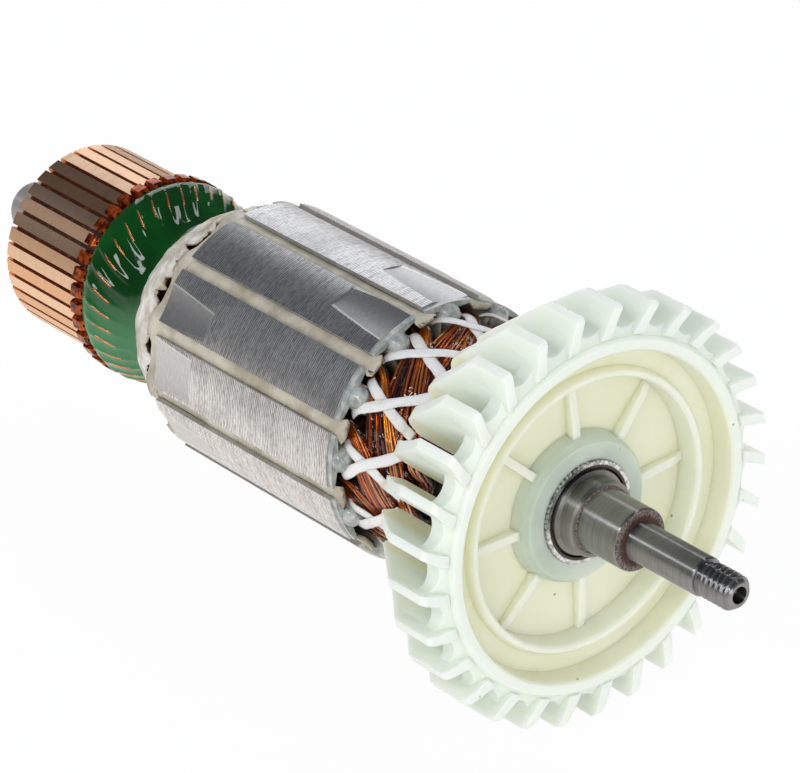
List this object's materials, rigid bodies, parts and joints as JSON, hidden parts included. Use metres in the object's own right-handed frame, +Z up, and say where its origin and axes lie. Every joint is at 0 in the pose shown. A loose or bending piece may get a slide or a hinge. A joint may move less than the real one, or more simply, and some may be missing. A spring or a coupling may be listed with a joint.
{
  "type": "motor armature",
  "caption": "Wound armature on a long stepped shaft: slotted core with coil heads, barred commutator, green resin collar and a dished fan wheel with leaning blades.",
  "frame": {"origin": "on the shaft's axis, at the shoulder that the drive-end bearing is pressed against", "axes": "+X along the shaft to the threaded drive end, +Z up, +Y to the left when looking along +X"},
  "size_m": [0.2114, 0.081, 0.0809],
  "materials": {
    "shaft_steel": "ground",
    "collar_steel": "turned",
    "sleeve_plastic": "moulded",
    "core_steel": "ground laminations",
    "plate_plastic": "moulded",
    "tape_fabric": "varnished tape",
    "binding_fabric": "varnished tape",
    "bar_copper": "turned copper",
    "mould_plastic": "moulded",
    "lead_copper": "enamelled copper",
    "green_resin": "glossy cast resin",
    "fan_plastic": "moulded",
    "insert_steel": "knurled",
    "slot_paper": "varnished paper",
    "wedge_board": "varnished board",
    "coil_copper": "varnished copper winding"
  },
  "bodies": {
    "root": {"shaft": "shaft_steel", "spacer_collar": "collar_steel", "shaft_sleeve": "sleeve_plastic", "lamination_stack": "core_steel", "drive_end_plate": "plate_plastic", "commutator_end_plate": "plate_plastic", "lacing_tape": "tape_fabric", "head_binding": "binding_fabric", "commutator_bars": "bar_copper", "commutator_mould": "mould_plastic", "coil_leads": "lead_copper", "resin_cap": "green_resin", "fan": "fan_plastic", "fan_insert": "insert_steel", "slot_liner_1": "slot_paper", "slot_wedge_1": "wedge_board", "coil_1": "coil_copper", "slot_liner_2": "slot_paper", "slot_wedge_2": "wedge_board", "coil_2": "coil_copper", "slot_liner_3": "slot_paper", "slot_wedge_3": "wedge_board", "coil_3": "coil_copper", "slot_liner_4": "slot_paper", "slot_wedge_4": "wedge_board", "coil_4": "coil_copper", "slot_liner_5": "slot_paper", "slot_wedge_5": "wedge_board", "coil_5": "coil_copper", "slot_liner_6": "slot_paper", "slot_wedge_6": "wedge_board", "coil_6": "coil_copper", "slot_liner_7": "slot_paper", "slot_wedge_7": "wedge_board", "coil_7": "coil_copper", "slot_liner_8": "slot_paper", "slot_wedge_8": "wedge_board", "coil_8": "coil_copper", "slot_liner_9": "slot_paper", "slot_wedge_9": "wedge_board", "coil_9": "coil_copper", "slot_liner_10": "slot_paper", "slot_wedge_10": "wedge_board", "coil_10": "coil_copper", "slot_liner_11": "slot_paper", "slot_wedge_11": "wedge_board", "coil_11": "coil_copper", "slot_liner_12": "slot_paper", "slot_wedge_12": "wedge_board", "coil_12": "coil_copper"}
  },
  "joints": []
}
